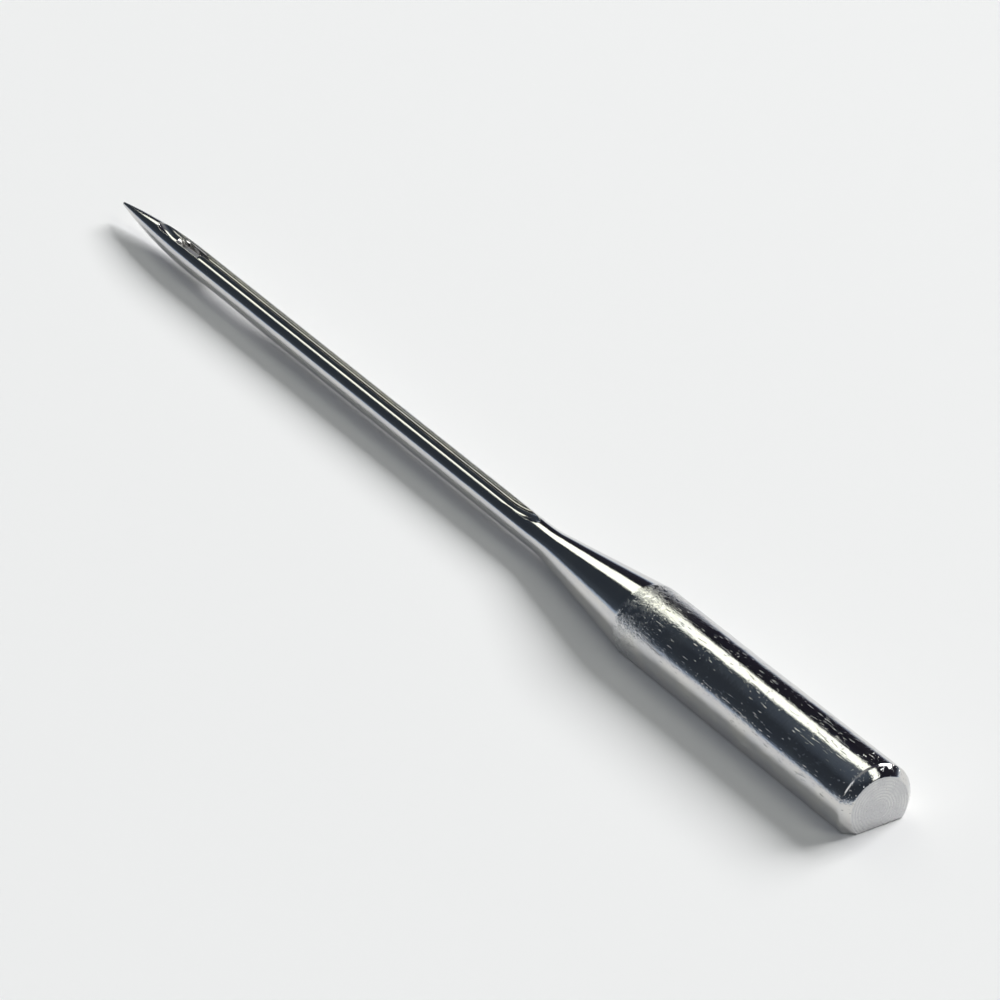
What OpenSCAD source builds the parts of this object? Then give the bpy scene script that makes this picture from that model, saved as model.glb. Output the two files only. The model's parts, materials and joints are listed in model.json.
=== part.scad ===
// Flat-shank sewing machine needle, one piece of steel, lying on the flat of its shank.
// The flat is on the plane Z = 0 and the middle of the needle's length is over the origin.
// The point is at the -X end, the butt at the +X end, and the long groove looks up.

/* [Shank] */
// Diameter of the round shank
shank_d = 2.02; // [1.9:0.01:2.3]
// Distance of the flat from the needle's axis
flat_off = 0.49; // [0.46:0.01:0.7]
// Length of the parallel shank, from the butt end to the taper
shank_l = 9.8; // [8:0.1:12]
// Chamfer round the butt end
butt_chamfer = 0.22; // [0.05:0.01:0.35]

/* [Taper] */
// Length of the cone between the shank and the blade
taper_l = 4.7; // [3:0.1:6]
// Radius of the hollow that blends the cone into the blade
blend_r = 8; // [2:0.5:15]

/* [Blade] */
// Diameter of the blade
blade_d = 0.80; // [0.70:0.01:0.90]
// Distance from the butt end to the top of the eye
butt_to_eye = 33.9; // [32:0.1:36]

/* [Eye] */
// Length of the eye along the blade
eye_l = 1.2; // [0.8:0.05:1.6]
// Width of the eye
eye_w = 0.32; // [0.26:0.01:0.34]

/* [Long groove] */
// Width of the long groove
groove_w = 0.36; // [0.35:0.01:0.42]
// Depth of the long groove under the front of the blade
groove_depth = 0.30; // [0.2:0.01:0.34]
// Plain blade between the taper and the start of the groove
groove_gap = 0.4; // [0:0.1:3]
// Radius of the wheel that leaves the groove's slow start
groove_lead_r = 5; // [2:0.5:8]
// Length that the groove keeps its full depth past the eye
groove_past = 0.1; // [0:0.05:0.4]
// Radius of the wheel that leaves the groove's short end
groove_end_r = 2; // [1:0.25:4]

/* [Short groove] */
// Depth of the short groove under the back of the blade
short_depth = 0.20; // [0.1:0.01:0.25]
// Radius of the wheel that leaves both ends of the short groove
short_r = 2.5; // [1:0.25:4]

/* [Scarf] */
// Depth of the scarf, the hollow in the back of the blade above the eye
scarf_depth = 0.25; // [0.15:0.01:0.28]
// Length of the scarf's level floor
scarf_floor = 1.0; // [0.4:0.1:2]
// Distance from the scarf's lower end to the top of the eye
scarf_gap = 0.35; // [0.1:0.05:0.8]
// Radius of the scarf's long upper slope
scarf_lead_r = 15; // [8:1:20]
// Radius of the scarf's short lower slope
scarf_end_r = 2.5; // [1:0.25:4]

/* [Point] */
// Distance from the lower end of the eye to the tip
point_l = 3.4; // [2.6:0.1:4.5]
// Length over which the blade narrows to the tip
ogive_l = 5.0; // [4:0.1:7]
// Radius of the rounded tip
tip_r = 0.015; // [0.005:0.001:0.03]

/* [Hidden] */
$fn = 96;

// Radii of the round sections
shank_r = shank_d / 2;
blade_r = blade_d / 2;

// Stations along the needle, from the butt end
taper_end = shank_l + taper_l;
eye_end = butt_to_eye + eye_l;
tip_x = eye_end + point_l;
ogive_x = tip_x - ogive_l;

// Sides of a large circle that has to look smooth over a short arc
fine = 1440;
// How far a cutter stands out of the steel
over = 1;
// How far an arc is set past a line that it runs into, so that the two cross cleanly
bite = 0.0005;

// Cone angle, and the length along cone and blade that the blend takes
taper_angle = atan((shank_r - blade_r) / taper_l);
blend_l = blend_r * tan(taper_angle / 2) - bite / sin(taper_angle);

// Radius of the ogive, the arc that leaves the blade and meets the middle of the tip's ball
arc_l = ogive_l - tip_r;
arc_drop = blade_r + bite - tip_r;
ogive_r = (pow(arc_l, 2) + pow(arc_drop, 2)) / (2 * arc_drop);

// Length along the blade in which a wheel of radius r climbs out from a depth
function climb(r, depth) = sqrt(r * r - pow(r - depth, 2));

// Outline of shank, cone and blade, radius across and station up
module body_outline() {
    difference() {
        polygon([
            [0, 0],
            [shank_r - butt_chamfer, 0],
            [shank_r, butt_chamfer],
            [shank_r, shank_l],
            [blade_r + blend_l * sin(taper_angle), taper_end - blend_l * cos(taper_angle)],
            [blade_r, taper_end + blend_l],
            [blade_r, ogive_x],
            [0, ogive_x]
        ]);
        translate([blade_r + blend_r, taper_end + blend_l]) circle(r = blend_r, $fn = fine);
    }
}

// Outline of the point, with the start of its ogive at station 0
module point_outline() {
    intersection() {
        translate([blade_r + bite - ogive_r, 0]) circle(r = ogive_r, $fn = fine);
        translate([0, -over]) square([blade_r, over + arc_l + bite]);
    }
    intersection() {
        translate([0, arc_l]) circle(r = tip_r);
        translate([0, arc_l - tip_r]) square([tip_r, 2 * tip_r]);
    }
}

// The turned blank, along +X from its butt end at the origin
module blank() {
    rotate([0, 90, 0]) rotate_extrude() {
        body_outline();
        translate([0, ogive_x]) point_outline();
    }
}

// What is ground off the back of the shank and cone to leave the flat
module flat_cut() {
    translate([-over, -shank_d, -flat_off - shank_d])
        cube([over + taper_end + blend_l, 2 * shank_d, shank_d]);
}

// Thin grinding wheel with a round rim, its lowest point at the origin
module wheel(r) {
    translate([0, 0, r]) rotate([90, 0, 0]) rotate_extrude() {
        translate([0, -groove_w / 2]) square([r - groove_w / 2, groove_w]);
        translate([r - groove_w / 2, 0]) intersection() {
            circle(d = groove_w);
            translate([0, -groove_w / 2]) square([groove_w / 2, groove_w]);
        }
    }
}

// Groove with a round floor, level between two stations and climbing out past both
module groove_cut(x0, x1, lead_r, end_r) {
    translate([x0, 0, 0]) wheel(lead_r);
    translate([x0, 0, groove_w / 2]) rotate([0, 90, 0]) cylinder(d = groove_w, h = x1 - x0);
    translate([x0, -groove_w / 2, groove_w / 2]) cube([x1 - x0, groove_w, over]);
    translate([x1, 0, 0]) wheel(end_r);
}

// Thread groove down the front of the blade to the eye
module long_groove() {
    start = taper_end + groove_gap + climb(groove_lead_r, groove_depth);
    translate([0, 0, blade_r - groove_depth])
        groove_cut(start, eye_end + groove_past, groove_lead_r, groove_end_r);
}

// Short thread groove in the back of the blade, along the eye
module short_groove() {
    mirror([0, 0, 1]) translate([0, 0, blade_r - short_depth])
        groove_cut(butt_to_eye, eye_end, short_r, short_r);
}

// Side outline of the scarf's cutter, which rises to the X axis over the scarf's floor
module scarf_outline(x0, x1) {
    intersection() {
        translate([x0, -scarf_lead_r]) circle(r = scarf_lead_r, $fn = fine);
        translate([x0 - scarf_lead_r, -scarf_lead_r]) square(scarf_lead_r);
    }
    translate([x0, -over]) square([x1 - x0, over]);
    intersection() {
        translate([x1, -scarf_end_r]) circle(r = scarf_end_r, $fn = fine);
        translate([x1, -scarf_end_r]) square(scarf_end_r);
    }
}

// Hollow in the back of the blade above the eye, where the hook passes the needle
module scarf() {
    end = butt_to_eye - scarf_gap - climb(scarf_end_r, scarf_depth);
    translate([0, blade_d, scarf_depth - blade_r]) rotate([90, 0, 0])
        linear_extrude(2 * blade_d) scarf_outline(end - scarf_floor, end);
}

// Hole for the thread, through from the long groove to the short one
module eye() {
    half_w = eye_w / 2;
    translate([butt_to_eye, 0, -blade_d]) {
        translate([half_w, 0, 0]) cylinder(d = eye_w, h = 2 * blade_d);
        translate([half_w, -half_w, 0]) cube([eye_l - eye_w, eye_w, 2 * blade_d]);
        translate([eye_l - half_w, 0, 0]) cylinder(d = eye_w, h = 2 * blade_d);
    }
}

// The whole needle, turned end for end and set down on its flat
module needle() {
    color("silver") translate([tip_x / 2, 0, flat_off]) rotate([0, 0, 180]) difference() {
        blank();
        flat_cut();
        long_groove();
        short_groove();
        scarf();
        eye();
    }
}

needle();
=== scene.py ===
import json
import math
import bpy
from mathutils import Matrix, Quaternion, Vector

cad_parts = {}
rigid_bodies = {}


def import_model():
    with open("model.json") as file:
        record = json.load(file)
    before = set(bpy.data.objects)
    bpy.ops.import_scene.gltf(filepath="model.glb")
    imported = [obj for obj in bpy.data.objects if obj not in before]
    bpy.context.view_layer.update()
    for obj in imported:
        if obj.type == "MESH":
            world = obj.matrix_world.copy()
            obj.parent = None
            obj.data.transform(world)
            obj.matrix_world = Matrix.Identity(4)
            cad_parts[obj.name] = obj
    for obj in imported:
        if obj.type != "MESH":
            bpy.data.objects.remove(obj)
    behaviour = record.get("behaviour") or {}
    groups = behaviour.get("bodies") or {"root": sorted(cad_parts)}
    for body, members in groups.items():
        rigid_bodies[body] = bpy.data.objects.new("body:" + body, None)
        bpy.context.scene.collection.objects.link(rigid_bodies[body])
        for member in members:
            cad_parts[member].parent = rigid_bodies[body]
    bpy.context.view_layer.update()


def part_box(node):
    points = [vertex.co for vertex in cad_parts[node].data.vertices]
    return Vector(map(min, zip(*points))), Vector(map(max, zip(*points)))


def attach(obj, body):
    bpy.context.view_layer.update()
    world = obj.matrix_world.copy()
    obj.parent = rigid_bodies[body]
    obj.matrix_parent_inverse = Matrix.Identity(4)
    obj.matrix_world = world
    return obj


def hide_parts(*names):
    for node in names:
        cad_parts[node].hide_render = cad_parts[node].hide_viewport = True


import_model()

# Camera. It looks along the needle from its butt end, 29 degrees round towards -Y and 29 degrees
# above the table, from 11 cm away. The roll is that of the photograph.
camera_place = Vector((0.0883, -0.0482, 0.0559))
camera_aim = Vector((0.0022, 0.0001, 0.0005))
camera_roll = math.radians(-2.48)
camera_data = bpy.data.cameras.new("camera")
camera = bpy.data.objects.new("camera", camera_data)
bpy.context.scene.collection.objects.link(camera)
bpy.context.scene.camera = camera
camera.rotation_mode = "QUATERNION"
camera.location = camera_place
looking = (camera_aim - camera_place).to_track_quat("-Z", "Y")
camera.rotation_quaternion = looking @ Quaternion((0, 0, 1), camera_roll)
camera_data.lens = 160
camera_data.sensor_width = 36
camera_data.clip_start = 0.001
camera_data.clip_end = 10

# Needle blank. The real one is a length of hardened steel wire, turned and swaged down from the
# shank through a cone to the slim blade, and ground to a long round point. It is drawn in
# millimetres from the butt end to the tip, one ring of edges for each step in its outline.
cad_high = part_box("needle")[1]
BUTT_X = round(1000 * cad_high.x, 2)
SHANK_R = round(1000 * cad_high.y, 3)
AXIS = 0.49
BLADE_R = 0.40
CONE_START = 9.45
CONE_LENGTH = 4.7
CONE_MIDDLE = 7.4
HOLLOW_X = 4.237
HOLLOW_R = 8
HOLLOW_TURN = 7.995
POINT_START = -14.433
POINT_R = 32.4
TIP_R = 0.015


def arc(centre, radius, start, end, steps):
    """Places along an arc of the outline, from one bearing to another in degrees."""
    turns = [math.radians(start + (end - start) * i / steps) for i in range(steps + 1)]
    return [(centre[0] + radius * math.cos(t), centre[1] + radius * math.sin(t)) for t in turns]


def drop(x):
    """How far the point's long curve lies under the blade's surface at x."""
    along = max(0, POINT_START - x)
    return POINT_R - math.sqrt(POINT_R ** 2 - along ** 2)


def surface(x):
    """Place on the outline of the blade and the point at x."""
    return x, BLADE_R - drop(x)


cone_slope = (SHANK_R - BLADE_R) / CONE_LENGTH
butt_end = [(BUTT_X, 0.60), (BUTT_X, 0.76), (BUTT_X - 0.008, 0.785), (BUTT_X - 0.028, 0.815)]
butt_end += [(BUTT_X - 0.19, 0.977), (BUTT_X - 0.22, 0.998), (BUTT_X - 0.26, SHANK_R)]
shank = [(14.0, SHANK_R), (9.50, SHANK_R), (9.462, 1.0075), (9.43, 1.0046), (9.39, 0.9998)]
cone = [(CONE_MIDDLE, SHANK_R - (CONE_START - CONE_MIDDLE) * cone_slope)]
cone += arc((HOLLOW_X, BLADE_R + HOLLOW_R), HOLLOW_R, -90 + HOLLOW_TURN, -90, 12)
blade = [surface(x) for x in (4.0, 3.5, 3.0, 2.6, 0, -4.0, -9.0)]
blade += [surface(x / 100) for x in range(-940, -1420, -10)]
point = [surface(x / 100) for x in range(-1420, -1700, -4)]
point += [surface(x / 100) for x in range(-1700, -1910, -15)]
point += [surface(-19.16), surface(-19.20)]
tip = arc((TIP_R - BUTT_X, 0), TIP_R, 98, 162, 5)
outline = butt_end + shank + cone + blade + point + tip

bpy.ops.object.select_all(action="DESELECT")
bpy.ops.mesh.primitive_circle_add(
    vertices=112,
    radius=outline[0][1],
    fill_type="NGON",
    location=(BUTT_X, 0, AXIS),
    rotation=(0, math.pi / 2, 0),
)
needle = bpy.context.object
needle.name = "needle_steel"
bpy.ops.object.transform_apply(location=True, rotation=True, scale=True)
bpy.ops.object.mode_set(mode="EDIT")
bpy.ops.mesh.select_mode(type="FACE")
bpy.ops.mesh.select_all(action="SELECT")
for here, there in zip(outline, outline[1:]):
    bpy.ops.mesh.extrude_region_move(
        TRANSFORM_OT_translate={"value": (there[0] - here[0], 0, 0)}
    )
    bpy.ops.transform.resize(
        value=(1, there[1] / here[1], there[1] / here[1]),
        center_override=(there[0], 0, AXIS),
    )
bpy.ops.mesh.select_all(action="SELECT")
bpy.ops.mesh.normals_make_consistent(inside=False)

# Flat of the shank. The real one is ground across the back of the shank and out along the cone,
# so that the clamp can hold the needle the right way round. Tumbling leaves its rim round, so
# the sharp edge is drawn in, between a ring of edges just above it and another on the flat.
RIM = 0.03
RIM_TOP = 0.875 * RIM
RIM_ROUNDING = 0.27 * RIM
NEAR = 0.0001
bpy.ops.mesh.bisect(plane_co=(0, 0, RIM_TOP), plane_no=(0, 0, 1), threshold=0.00001)
bpy.ops.mesh.select_all(action="SELECT")
bpy.ops.mesh.bisect(
    plane_co=(0, 0, 0),
    plane_no=(0, 0, 1),
    use_fill=True,
    clear_inner=True,
    threshold=0.00001,
)


def select(kind, test):
    """Selects only those edges or faces of the open piece whose every corner passes the test."""
    bpy.ops.mesh.select_mode(type=kind)
    bpy.ops.mesh.select_all(action="DESELECT")
    bpy.ops.object.mode_set(mode="OBJECT")
    shape = bpy.context.object.data
    passing = [test(corner.co) for corner in shape.vertices]
    for part in shape.polygons if kind == "FACE" else shape.edges:
        part.select = all(passing[corner] for corner in part.vertices)
    bpy.ops.object.mode_set(mode="EDIT")


select("FACE", lambda corner: corner.z < NEAR)
bpy.ops.mesh.inset(thickness=RIM, use_even_offset=True)
bpy.ops.mesh.select_more()
bpy.ops.mesh.region_to_loop()
bpy.ops.transform.shrink_fatten(value=-RIM_ROUNDING)
bpy.ops.object.mode_set(mode="OBJECT")

# Long groove, short groove and scarf. In the real needle a tool dips into the blade for each of
# them and lifts out again, so every cutter is one section, drawn along and swung out at both
# ends. The lips of the grooves are drawn round, because the thread has to run over them.
GROOVE_R = 0.18
WALL_TOP = 0.318
# Half width and height over the axis of each step of a lip, up from the groove's wall
LIPS = [(0.1800, 0.3220), (0.1840, 0.3340), (0.1930, 0.3405), (0.2600, 0.3405), (0.2600, 0.7500)]
LIP_FOOT = 0.28
LIP_FADE = 0.06
LIP_TOP = 0.5


def groove_section(name, x, floor, up):
    """Section of a groove's cutter at x, its round floor at a height over the needle's axis."""
    bpy.ops.object.select_all(action="DESELECT")
    bpy.ops.mesh.primitive_circle_add(
        vertices=72,
        radius=GROOVE_R,
        fill_type="NOTHING",
        location=(x, 0, AXIS + floor + up * GROOVE_R),
        rotation=(0, math.pi / 2, 0),
    )
    bpy.context.object.name = name
    bpy.ops.object.transform_apply(location=True, rotation=True, scale=True)
    bpy.ops.object.mode_set(mode="EDIT")
    select("EDGE", lambda corner: up * (corner.z - AXIS) < WALL_TOP)
    bpy.ops.mesh.select_mode(type="VERT")
    bpy.ops.mesh.select_all(action="INVERT")
    bpy.ops.mesh.delete(type="VERT")
    bpy.ops.object.mode_set(mode="OBJECT")
    corners = bpy.context.object.data.vertices
    height = max(up * (corner.co.z - AXIS) for corner in corners)
    for corner in corners:
        corner.select = up * (corner.co.z - AXIS) > height - NEAR
    width = max(corner.co.y for corner in corners if corner.select)
    bpy.ops.object.mode_set(mode="EDIT")
    for out, rise in LIPS:
        bpy.ops.mesh.extrude_region_move(
            TRANSFORM_OT_translate={"value": (0, 0, up * (rise - height))}
        )
        bpy.ops.transform.resize(value=(1, out / width, 1))
        width = out
        height = rise
    bpy.ops.mesh.select_all(action="SELECT")
    bpy.ops.mesh.edge_face_add()


def lower_lips(fall):
    """Lets the lips of the section just drawn fall with the surface of the point."""
    bpy.ops.object.mode_set(mode="OBJECT")
    for corner in bpy.context.object.data.vertices:
        rise = corner.co.z - AXIS
        if corner.select and LIP_FOOT < rise < LIP_TOP:
            corner.co.z -= fall * min(1, (rise - LIP_FOOT) / LIP_FADE)
    bpy.ops.object.mode_set(mode="EDIT")


def draw_cutter(stations, floor, up, in_r, in_turn, out_r, out_turn):
    """Swings the open section in, draws it along its stations and swings it out again."""
    start = stations[0]
    end = stations[-1]
    bpy.ops.mesh.select_mode(type="FACE")
    bpy.ops.mesh.spin(
        steps=48,
        angle=math.radians(up * in_turn),
        center=(start, 0, AXIS + floor + up * in_r),
        axis=(0, 1, 0),
    )
    select("FACE", lambda corner: abs(corner.x - start) < NEAR)
    for here, there in zip(stations, stations[1:]):
        bpy.ops.mesh.extrude_region_move(TRANSFORM_OT_translate={"value": (there - here, 0, 0)})
        lower_lips(drop(there) - drop(here))
    bpy.ops.mesh.spin(
        steps=48,
        angle=math.radians(-up * out_turn),
        center=(end, 0, AXIS + floor + up * out_r),
        axis=(0, 1, 0),
    )
    bpy.ops.mesh.select_all(action="SELECT")
    bpy.ops.mesh.normals_make_consistent(inside=False)
    bpy.ops.object.mode_set(mode="OBJECT")


def cut(piece, cutter):
    """Takes the cutter's shape out of the piece for good."""
    bpy.context.view_layer.objects.active = piece
    bpy.ops.object.modifier_add(type="BOOLEAN")
    piece.modifiers["Boolean"].operation = "DIFFERENCE"
    piece.modifiers["Boolean"].solver = "EXACT"
    piece.modifiers["Boolean"].object = cutter
    bpy.ops.object.modifier_apply(modifier="Boolean")
    bpy.data.objects.remove(cutter)


LONG_STATIONS = (2.644, POINT_START, -14.9, -15.4, -15.95)
LONG_FLOOR = 0.10
groove_section("long_groove_cutter", LONG_STATIONS[0], LONG_FLOOR, 1)
draw_cutter(LONG_STATIONS, LONG_FLOOR, 1, in_r=5, in_turn=26, out_r=2, out_turn=36)
cut(needle, bpy.context.object)

SHORT_STATIONS = (-14.65, -15.25, -15.85)
SHORT_FLOOR = -0.20
groove_section("short_groove_cutter", SHORT_STATIONS[0], SHORT_FLOOR, -1)
draw_cutter(SHORT_STATIONS, SHORT_FLOOR, -1, in_r=2.5, in_turn=30, out_r=2.5, out_turn=30)
cut(needle, bpy.context.object)

SCARF_STATIONS = (-12.21, -13.21)
SCARF_FLOOR = -0.15
SCARF_HEIGHT = 0.6
SCARF_WIDTH = 1.2
bpy.ops.object.select_all(action="DESELECT")
bpy.ops.mesh.primitive_plane_add(
    size=1,
    location=(SCARF_STATIONS[0], 0, AXIS + SCARF_FLOOR - 0.5 * SCARF_HEIGHT),
    rotation=(0, math.pi / 2, 0),
)
bpy.context.object.name = "scarf_cutter"
bpy.context.object.scale = (SCARF_HEIGHT, SCARF_WIDTH, 1)
bpy.ops.object.transform_apply(location=True, rotation=True, scale=True)
bpy.ops.object.mode_set(mode="EDIT")
bpy.ops.mesh.select_all(action="SELECT")
draw_cutter(SCARF_STATIONS, SCARF_FLOOR, -1, in_r=15, in_turn=13, out_r=2.5, out_turn=32)
cut(needle, bpy.context.object)

# Eye. The real one is pressed through from the long groove to the short one, and its rim is
# polished round, because the thread turns over it. The cutter is a slot that opens like a
# trumpet at both ends, from its waist out.
EYE_X = -15.25
WAIST_Z = AXIS - 0.05
HALF_LENGTH = 0.60
HALF_WIDTH = 0.16
EYE_RIM = 0.08
SIDE_FLARE = 0.2
EYE_REACH = 0.8


def flare(turn):
    """Rise, half length and half width of the trumpet, so many degrees round the eye's rim."""
    rise = EYE_RIM * (1 + math.sin(math.radians(turn)))
    out = EYE_RIM * (1 - math.cos(math.radians(turn)))
    return rise, HALF_LENGTH + out, HALF_WIDTH + SIDE_FLARE * out


bpy.ops.object.select_all(action="DESELECT")
bpy.ops.mesh.primitive_circle_add(
    vertices=66,
    radius=HALF_WIDTH,
    fill_type="NGON",
    location=(EYE_X, 0, WAIST_Z),
)
eye_cutter = bpy.context.object
eye_cutter.name = "eye_cutter"
bpy.ops.object.transform_apply(location=True, rotation=True, scale=True)
half_straight = HALF_LENGTH - HALF_WIDTH
for corner in eye_cutter.data.vertices:
    corner.co.x += half_straight if corner.co.x > EYE_X else -half_straight
trumpet = [(0, HALF_LENGTH, HALF_WIDTH)] + [flare(turn) for turn in range(0, 73, 12)]
trumpet.append((EYE_REACH, *trumpet[-1][1:]))
for up in (1, -1):
    bpy.ops.object.mode_set(mode="EDIT")
    select("FACE", lambda corner: abs(corner.z - WAIST_Z) < NEAR)
    for here, there in zip(trumpet, trumpet[1:]):
        bpy.ops.mesh.extrude_region_move(
            TRANSFORM_OT_translate={"value": (0, 0, up * (there[0] - here[0]))}
        )
        bpy.ops.transform.resize(
            value=(there[1] / here[1], there[2] / here[2], 1),
            center_override=(EYE_X, 0, 0),
        )
    bpy.ops.object.mode_set(mode="OBJECT")
bpy.ops.object.mode_set(mode="EDIT")
bpy.ops.mesh.select_all(action="SELECT")
bpy.ops.mesh.normals_make_consistent(inside=False)
bpy.ops.object.mode_set(mode="OBJECT")
cut(needle, eye_cutter)

# Finished needle, brought from millimetres to metres. Spare corners, where only two edges meet,
# are taken out. The broad faces lead in the shading, so that the small ones between them shine
# like rounded edges.
bpy.ops.object.select_all(action="DESELECT")
needle.select_set(True)
bpy.context.view_layer.objects.active = needle
bpy.ops.object.mode_set(mode="EDIT")
bpy.ops.mesh.select_all(action="SELECT")
bpy.ops.mesh.remove_doubles(threshold=NEAR)
bpy.ops.mesh.dissolve_degenerate(threshold=NEAR)
bpy.ops.mesh.select_mode(type="VERT")
bpy.ops.mesh.select_all(action="DESELECT")
bpy.ops.object.mode_set(mode="OBJECT")
edges_met = [0] * len(needle.data.vertices)
for edge in needle.data.edges:
    for corner in edge.vertices:
        edges_met[corner] += 1
for corner in needle.data.vertices:
    corner.select = edges_met[corner.index] == 2
bpy.ops.object.mode_set(mode="EDIT")
bpy.ops.mesh.dissolve_verts()
bpy.ops.mesh.select_all(action="SELECT")
bpy.ops.mesh.normals_make_consistent(inside=False)
bpy.ops.object.mode_set(mode="OBJECT")
needle.scale = (0.001, 0.001, 0.001)
bpy.ops.object.transform_apply(location=True, rotation=True, scale=True)
bpy.ops.object.shade_smooth()
bpy.ops.object.modifier_add(type="WEIGHTED_NORMAL")
needle.modifiers["WeightedNormal"].weight = 50
bpy.ops.object.modifier_apply(modifier="WeightedNormal")

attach(needle, "root")
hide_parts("needle")

# Plated finish. The shank is ground between wheels, tumbled and nickel plated, which leaves it
# bright with fine rings, small pits and nicks, and a frosted patch where it meets the cone. The
# cone and the blade are polished lengthwise and far smoother.


def metal_finish(name):
    """A new metal finish, its nodes, and the place on the needle in millimetres for patterns."""
    finish = bpy.data.materials.new(name)
    finish.use_nodes = True
    tree = finish.node_tree
    metres = tree.nodes.new("ShaderNodeTexCoord")
    millimetres = tree.nodes.new("ShaderNodeVectorMath")
    millimetres.operation = "SCALE"
    millimetres.inputs["Scale"].default_value = 1000
    tree.links.new(metres.outputs["Object"], millimetres.inputs[0])
    tree.nodes["Principled BSDF"].inputs["Metallic"].default_value = 1
    return finish, tree, millimetres.outputs[0]


def mapped(tree, place, change, amount):
    """The place with one change made to it: its Location, Rotation or Scale."""
    mapping = tree.nodes.new("ShaderNodeMapping")
    mapping.inputs[change].default_value = amount
    tree.links.new(place, mapping.inputs["Vector"])
    return mapping.outputs["Vector"]


def noise(tree, place, turns, detail, rough=0.5):
    """Cloudy pattern with so many turns a millimetre along X, Y and Z."""
    cloud = tree.nodes.new("ShaderNodeTexNoise")
    cloud.inputs["Scale"].default_value = 1
    cloud.inputs["Detail"].default_value = detail
    cloud.inputs["Roughness"].default_value = rough
    tree.links.new(mapped(tree, place, "Scale", turns), cloud.inputs["Vector"])
    return cloud.outputs["Fac"]


def span(tree, pattern, low, high, at_low, at_high):
    """The pattern's range from low to high, moved to another range and held at its ends."""
    remap = tree.nodes.new("ShaderNodeMapRange")
    remap.inputs["From Min"].default_value = low
    remap.inputs["From Max"].default_value = high
    remap.inputs["To Min"].default_value = at_low
    remap.inputs["To Max"].default_value = at_high
    tree.links.new(pattern, remap.inputs["Value"])
    return remap.outputs["Result"]


def combine(tree, operation, first, second):
    """Adds, multiplies or compares two patterns, or a pattern and a number."""
    step = tree.nodes.new("ShaderNodeMath")
    step.operation = operation
    for socket, term in zip(step.inputs, (first, second)):
        if isinstance(term, (int, float)):
            socket.default_value = term
        else:
            tree.links.new(term, socket)
    return step.outputs[0]


def set_surface(tree, relief, gloss, pattern, colour, other, microns):
    """Gives the metal its relief, so many microns deep, its roughness and its two colours."""
    shader = tree.nodes["Principled BSDF"]
    bump = tree.nodes.new("ShaderNodeBump")
    bump.inputs["Strength"].default_value = 1
    bump.inputs["Distance"].default_value = microns / 1000000
    tree.links.new(relief, bump.inputs["Height"])
    tree.links.new(bump.outputs["Normal"], shader.inputs["Normal"])
    tree.links.new(gloss, shader.inputs["Roughness"])
    tint = tree.nodes.new("ShaderNodeMix")
    tint.data_type = "RGBA"
    tint.inputs["A"].default_value = (*colour, 1)
    tint.inputs["B"].default_value = (*other, 1)
    tree.links.new(pattern, tint.inputs["Factor"])
    tree.links.new(tint.outputs["Result"], shader.inputs["Base Color"])


plated, tree, place = metal_finish("bright_nickel_plate")
apart = tree.nodes.new("ShaderNodeSeparateXYZ")
tree.links.new(place, apart.inputs["Vector"])
on_shank = span(tree, apart.outputs["X"], 9.35, 9.50, 0, 1)
near_kink = span(tree, apart.outputs["X"], 9.5, 12.2, 1, 0)
patches = noise(tree, place, (1.3, 2.0, 2.0), 2)
mottled = span(tree, noise(tree, place, (6, 9, 9), 3, 0.7), 0.42, 0.58, 0.2, 1)
mottled = combine(tree, "MULTIPLY", near_kink, mottled)

rings = combine(tree, "MULTIPLY", noise(tree, place, (14, 1.5, 1.5), 4, 0.7), 0.7)
frost = combine(tree, "MULTIPLY", noise(tree, place, (10, 12, 12), 3, 0.75), 0.6)
frosted = span(tree, patches, 0.35, 0.65, 0.35, 0.95)
frosted = combine(tree, "ADD", frosted, combine(tree, "MULTIPLY", mottled, 1.4))
relief = combine(tree, "MULTIPLY", combine(tree, "ADD", rings, frost), frosted)
relief = combine(tree, "MULTIPLY", relief, span(tree, on_shank, 0, 1, 0.05, 1))
draw_lines = noise(tree, place, (0.5, 24, 24), 2, 0.6)
relief = combine(tree, "ADD", relief, combine(tree, "MULTIPLY", draw_lines, 0.12))

crowded = span(tree, noise(tree, place, (0.9, 2.2, 2.2), 2), 0.40, 0.60, 0.05, 1)
pits = span(tree, noise(tree, place, (11, 19, 19), 1), 0.67, 0.77, 0, 1)
pits = combine(tree, "MULTIPLY", pits, crowded)
nicks = span(tree, noise(tree, place, (2.2, 18, 18), 1), 0.68, 0.76, 0, 1)
marks = combine(tree, "MULTIPLY", combine(tree, "MAXIMUM", pits, nicks), on_shank)
relief = combine(tree, "SUBTRACT", relief, combine(tree, "MULTIPLY", marks, 0.7))

gloss = span(tree, patches, 0.3, 0.7, 0.07, 0.10)
gloss = combine(tree, "ADD", gloss, combine(tree, "MULTIPLY", on_shank, -0.01))
gloss = combine(tree, "ADD", gloss, combine(tree, "MULTIPLY", marks, 0.15))
blurred = combine(tree, "MULTIPLY", mottled, on_shank)
gloss = combine(tree, "ADD", gloss, combine(tree, "MULTIPLY", blurred, 0.28))
warmer = span(tree, patches, 0.35, 0.65, 0, 1)
set_surface(tree, relief, gloss, warmer, (0.60, 0.60, 0.61), (0.66, 0.65, 0.63), microns=6)
needle.data.materials.append(plated)

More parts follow.
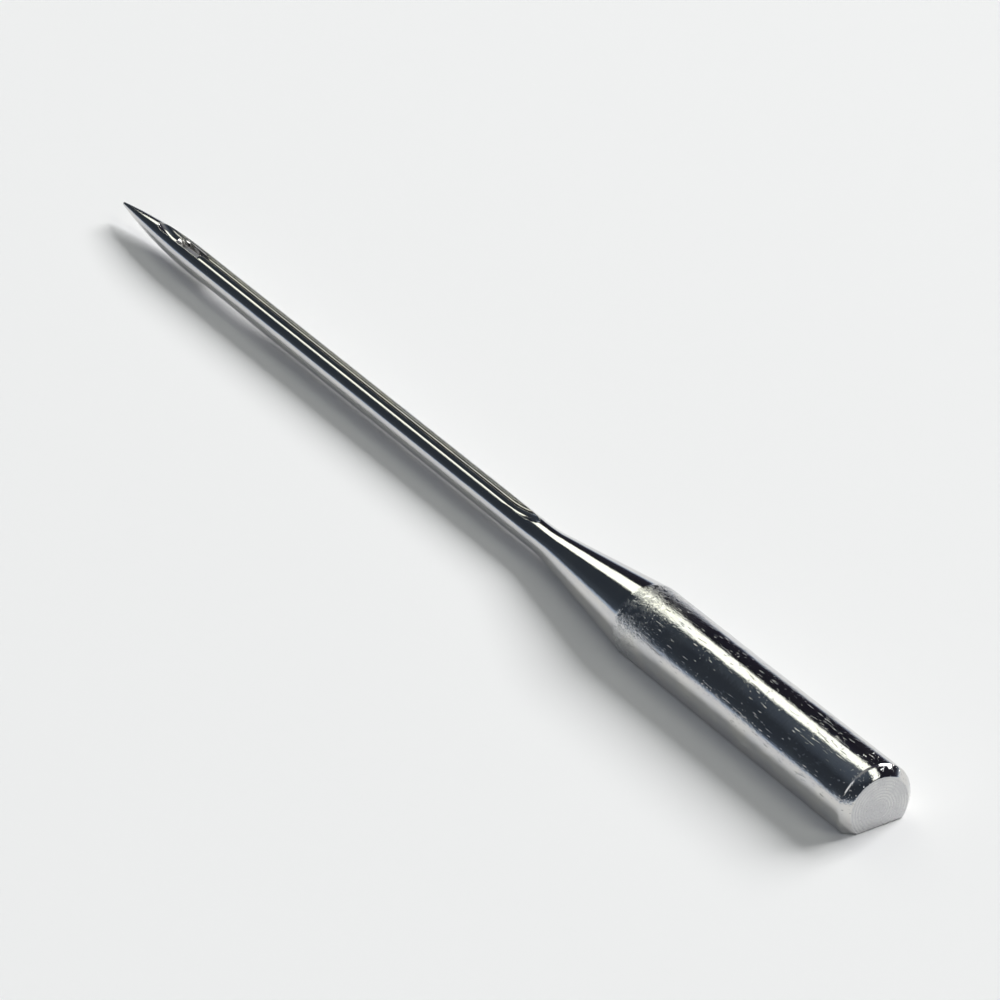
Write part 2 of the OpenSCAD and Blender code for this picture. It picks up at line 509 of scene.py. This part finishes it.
# Ground finish of the flat. A wheel ran across it, a little askew, so its fine lines and short
# scores cross the needle, and it shines from some sides and looks dark from others.
ground, tree, place = metal_finish("ground_flat")
across = mapped(tree, place, "Rotation", (0, 0, math.radians(7)))
fine_lines = noise(tree, across, (22, 0.5, 0.5), 3, 0.7)
wide_lines = noise(tree, across, (5, 0.25, 0.25), 2)
cells = tree.nodes.new("ShaderNodeTexVoronoi")
cells.inputs["Scale"].default_value = 1
tree.links.new(mapped(tree, across, "Scale", (4.0, 0.35, 0.35)), cells.inputs["Vector"])
scores = span(tree, cells.outputs["Distance"], 0.09, 0.045, 0, 1)
relief = combine(tree, "MULTIPLY", fine_lines, 0.7)
relief = combine(tree, "ADD", relief, combine(tree, "MULTIPLY", wide_lines, 0.5))
relief = combine(tree, "SUBTRACT", relief, scores)
gloss = span(tree, wide_lines, 0.3, 0.7, 0.20, 0.30)
set_surface(tree, relief, gloss, fine_lines, (0.60, 0.60, 0.60), (0.68, 0.68, 0.67), microns=2.5)
needle.data.materials.append(ground)

# Butt end. The wire was parted off and faced here, so fine rings run round its middle, worn in
# places, and the plating over them is a little duller than on the shank.
faced, tree, place = metal_finish("faced_butt_end")
turned = tree.nodes.new("ShaderNodeTexWave")
turned.wave_type = "RINGS"
turned.rings_direction = "X"
turned.inputs["Scale"].default_value = 4.2
turned.inputs["Distortion"].default_value = 0.8
turned.inputs["Detail"].default_value = 3
turned.inputs["Detail Scale"].default_value = 1.5
tree.links.new(mapped(tree, place, "Location", (0, 0, -AXIS)), turned.inputs["Vector"])
worn = span(tree, noise(tree, place, (1, 2.5, 2.5), 2), 0.4, 0.6, 0.25, 1)
grain = noise(tree, place, (12, 12, 12), 3, 0.6)
relief = combine(tree, "MULTIPLY", turned.outputs["Fac"], worn)
relief = combine(tree, "ADD", relief, combine(tree, "MULTIPLY", grain, 0.8))
gloss = span(tree, grain, 0.3, 0.7, 0.24, 0.36)
paler = span(tree, relief, 0.3, 1.5, 0, 1)
set_surface(tree, relief, gloss, paler, (0.53, 0.53, 0.54), (0.64, 0.64, 0.63), microns=2)
needle.data.materials.append(faced)
FLAT_TOP = 0.000001
FACED_START = 0.0192
for face in needle.data.polygons:
    if face.center.z < FLAT_TOP:
        face.material_index = 1
    elif face.center.x > FACED_START and face.normal.x > 0.95:
        face.material_index = 2

# Table. It is a pale matt board, 3 m wide, and it lies a hundredth of a millimetre under the
# needle's flat, so that the two surfaces never share a plane.
TABLE_Z = -0.00001
bpy.ops.object.select_all(action="DESELECT")
bpy.ops.mesh.primitive_plane_add(size=3, location=(0, 0, TABLE_Z))
table_top = bpy.context.object
table_top.name = "table_top"
bpy.ops.object.transform_apply(location=True, rotation=True, scale=True)
board = bpy.data.materials.new("pale board")
board.use_nodes = True
shader = board.node_tree.nodes["Principled BSDF"]
shader.inputs["Base Color"].default_value = (0.86, 0.86, 0.86, 1)
shader.inputs["Roughness"].default_value = 0.9
shader.inputs["Specular IOR Level"].default_value = 0.1
table_top.data.materials.append(board)

# Studio light. Over a pale horizon the room is dark and slightly blue, darker and more violet on
# the +Y side, so that the bright metal has dark sides. Two cream lamps give its narrow
# highlights, one at the back lights the table and throws the shadow, and a last one fills in.
world = bpy.data.worlds.new("studio")
bpy.context.scene.world = world
world.use_nodes = True
tree = world.node_tree
outward = tree.nodes.new("ShaderNodeTexCoord")
split = tree.nodes.new("ShaderNodeSeparateXYZ")
by_height = tree.nodes.new("ShaderNodeValToRGB")
tree.links.new(outward.outputs["Generated"], split.inputs["Vector"])
tree.links.new(split.outputs["Z"], by_height.inputs["Fac"])
ramp = by_height.color_ramp
ramp.elements[0].position = 0
ramp.elements[0].color = (0.70, 0.70, 0.70, 1)
ramp.elements[1].position = 1
ramp.elements[1].color = (0.3, 0.3, 0.3, 1)
for position, level in ((0.04, 0.60), (0.10, 0.08), (0.30, 0.045), (0.60, 0.04), (0.85, 0.12)):
    stop = ramp.elements.new(position)
    stop.color = (level * 0.80, level * 0.98, level * 1.24, 1)
above_horizon = span(tree, split.outputs["Z"], 0.04, 0.10, 0, 1)
far_side = span(tree, split.outputs["Y"], 0.15, 0.45, 0, 1)
far_side = combine(tree, "MULTIPLY", far_side, above_horizon)
shaded = tree.nodes.new("ShaderNodeMix")
shaded.data_type = "RGBA"
shaded.blend_type = "MULTIPLY"
shaded.inputs["B"].default_value = (0.50, 0.40, 0.46, 1)
tree.links.new(far_side, shaded.inputs["Factor"])
tree.links.new(by_height.outputs["Color"], shaded.inputs["A"])
tree.links.new(shaded.outputs["Result"], tree.nodes["Background"].inputs["Color"])

CREAM = (0.98, 1.0, 0.87)
PALE_CREAM = (0.98, 1.0, 0.90)
WHITE = (1, 1, 1)


def soft_box(name, direction, distance, size, power, colour):
    """A rectangular lamp that faces the needle, its size in metres across and along it."""
    back = Vector(direction).normalized()
    side = (Vector((0, 1, 0)) - back * back.y).normalized()
    data = bpy.data.lights.new(name, "AREA")
    data.shape = "RECTANGLE"
    data.size, data.size_y = size
    data.energy = power
    data.color = colour
    lamp = bpy.data.objects.new(name, data)
    bpy.context.scene.collection.objects.link(lamp)
    lamp.location = back * distance
    lamp.rotation_mode = "QUATERNION"
    lamp.rotation_quaternion = Matrix((side, back.cross(side), back)).transposed().to_quaternion()


soft_box("key", (-0.712, 0.217, 0.668), 1.6, size=(0.52, 1.2), power=3.5, colour=CREAM)
soft_box("back", (-0.06, 0.82, 0.54), 2.0, size=(0.9, 1.15), power=55, colour=WHITE)
soft_box("point_side", (0.66, 0.36, 0.66), 1.6, size=(0.48, 0.96), power=2.56, colour=PALE_CREAM)
soft_box("fill", (0.3, -0.8, 0.75), 2.0, size=(1.2, 1.2), power=4, colour=WHITE)

bpy.context.scene.view_settings.view_transform = "Standard"
